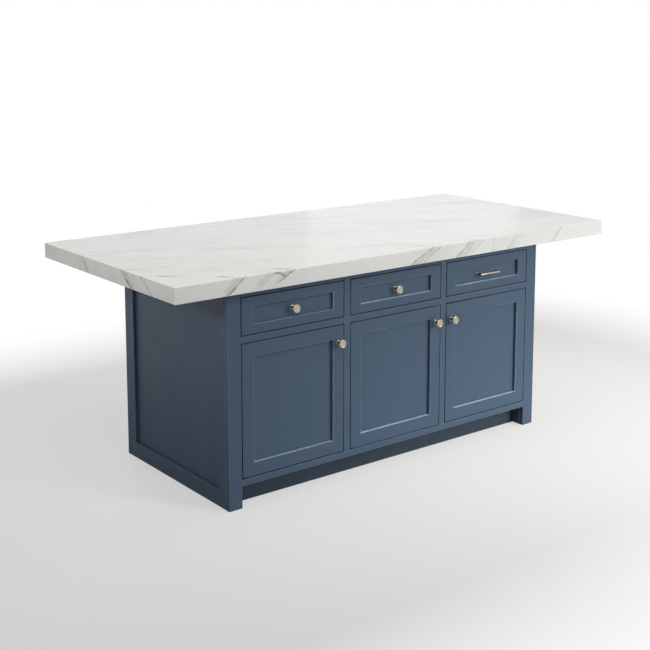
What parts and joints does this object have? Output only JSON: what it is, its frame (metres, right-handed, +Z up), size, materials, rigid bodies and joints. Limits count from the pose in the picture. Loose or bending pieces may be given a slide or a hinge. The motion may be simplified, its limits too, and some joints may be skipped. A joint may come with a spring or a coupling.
{
  "type": "kitchen island",
  "caption": "Freestanding kitchen island: a framed blue cabinet of inset drawers over doors, with round knobs and a bar pull, under a thick overhanging veined stone worktop.",
  "frame": {"origin": "on the floor under the middle of the worktop", "axes": "+X to the right along the front, +Z up; the doors and drawers face -Y"},
  "size_m": [2.32, 1.08, 0.914],
  "materials": {
    "veined_stone": "polished white stone with soft grey veins",
    "plywood": "bare plywood",
    "blue_paint": "satin slate-blue paint on wood",
    "carcass_white": "matt off-white faced board",
    "drawer_birch": "clear satin lacquer on birch",
    "bright_steel": "bright zinc-plated and brushed steel",
    "champagne_brass": "pale satin brass"
  },
  "bodies": {
    "cabinet": {"worktop": "veined_stone", "worktop_substrate": "plywood", "overhang_bars": "bright_steel", "face_stile_left": "blue_paint", "face_stile_right": "blue_paint", "face_rail_top": "blue_paint", "face_rail_bottom": "drawer_birch", "face_mullions": "blue_paint", "face_mid_rails": "blue_paint", "end_frame_left": "blue_paint", "end_frame_right": "blue_paint", "end_panels": "blue_paint", "back_frame": "blue_paint", "back_panels": "blue_paint", "carcass_left_sides": "carcass_white", "carcass_right_sides": "carcass_white", "carcass_floors": "carcass_white", "carcass_stretchers": "carcass_white", "carcass_backs": "carcass_white", "carcass_bolts": "bright_steel", "shelves": "carcass_white", "shelf_pegs": "bright_steel", "toe_kick": "blue_paint", "foot_returns": "blue_paint", "end_packers": "plywood", "runner_rails": "bright_steel", "hinge_arms": "bright_steel"},
    "drawer_left": {"drawer_left_frame": "blue_paint", "drawer_left_panel": "blue_paint", "drawer_left_box": "drawer_birch", "drawer_left_bottom": "drawer_birch", "drawer_left_slides": "bright_steel", "drawer_left_knob": "champagne_brass"},
    "runner_left": {"runner_left_middles": "bright_steel"},
    "door_left": {"door_left_frame": "blue_paint", "door_left_panel": "blue_paint", "door_left_hinge_cups": "bright_steel", "door_left_knob": "champagne_brass"},
    "drawer_middle": {"drawer_middle_frame": "blue_paint", "drawer_middle_panel": "blue_paint", "drawer_middle_box": "drawer_birch", "drawer_middle_bottom": "drawer_birch", "drawer_middle_slides": "bright_steel", "drawer_middle_knob": "champagne_brass"},
    "runner_middle": {"runner_middle_middles": "bright_steel"},
    "door_middle": {"door_middle_frame": "blue_paint", "door_middle_panel": "blue_paint", "door_middle_hinge_cups": "bright_steel", "door_middle_knob": "champagne_brass"},
    "drawer_right": {"drawer_right_frame": "blue_paint", "drawer_right_panel": "blue_paint", "drawer_right_box": "drawer_birch", "drawer_right_bottom": "drawer_birch", "drawer_right_slides": "bright_steel", "drawer_right_pull": "champagne_brass"},
    "runner_right": {"runner_right_middles": "bright_steel"},
    "door_right": {"door_right_frame": "blue_paint", "door_right_panel": "blue_paint", "door_right_hinge_cups": "bright_steel", "door_right_knob": "champagne_brass"}
  },
  "joints": [
    {"name": "drawer_left_slide", "type": "slide", "parent": "cabinet", "child": "drawer_left", "axis": [0, -1, 0], "range_m": [0, 0.5]},
    {"name": "runner_left_slide", "type": "slide", "parent": "cabinet", "child": "runner_left", "axis": [0, -1, 0], "range_m": [0, 0.25]},
    {"name": "drawer_middle_slide", "type": "slide", "parent": "cabinet", "child": "drawer_middle", "axis": [0, -1, 0], "range_m": [0, 0.5]},
    {"name": "runner_middle_slide", "type": "slide", "parent": "cabinet", "child": "runner_middle", "axis": [0, -1, 0], "range_m": [0, 0.25]},
    {"name": "drawer_right_slide", "type": "slide", "parent": "cabinet", "child": "drawer_right", "axis": [0, -1, 0], "range_m": [0, 0.5]},
    {"name": "runner_right_slide", "type": "slide", "parent": "cabinet", "child": "runner_right", "axis": [0, -1, 0], "range_m": [0, 0.25]},
    {"name": "door_left_hinge", "type": "hinge", "parent": "cabinet", "child": "door_left", "pos_m": [-0.8295, -0.491, 0.382], "axis": [0, 0, -1], "range_deg": [0, 95]},
    {"name": "door_middle_hinge", "type": "hinge", "parent": "cabinet", "child": "door_middle", "pos_m": [-0.3035, -0.491, 0.382], "axis": [0, 0, -1], "range_deg": [0, 95]},
    {"name": "door_right_hinge", "type": "hinge", "parent": "cabinet", "child": "door_right", "pos_m": [0.6635, -0.491, 0.382], "axis": [0, 0, 1], "range_deg": [0, 95]}
  ],
  "couplings": [
    {"joint": "runner_left_slide", "follows": "drawer_left_slide", "ratio": 0.5},
    {"joint": "runner_middle_slide", "follows": "drawer_middle_slide", "ratio": 0.5},
    {"joint": "runner_right_slide", "follows": "drawer_right_slide", "ratio": 0.5}
  ]
}
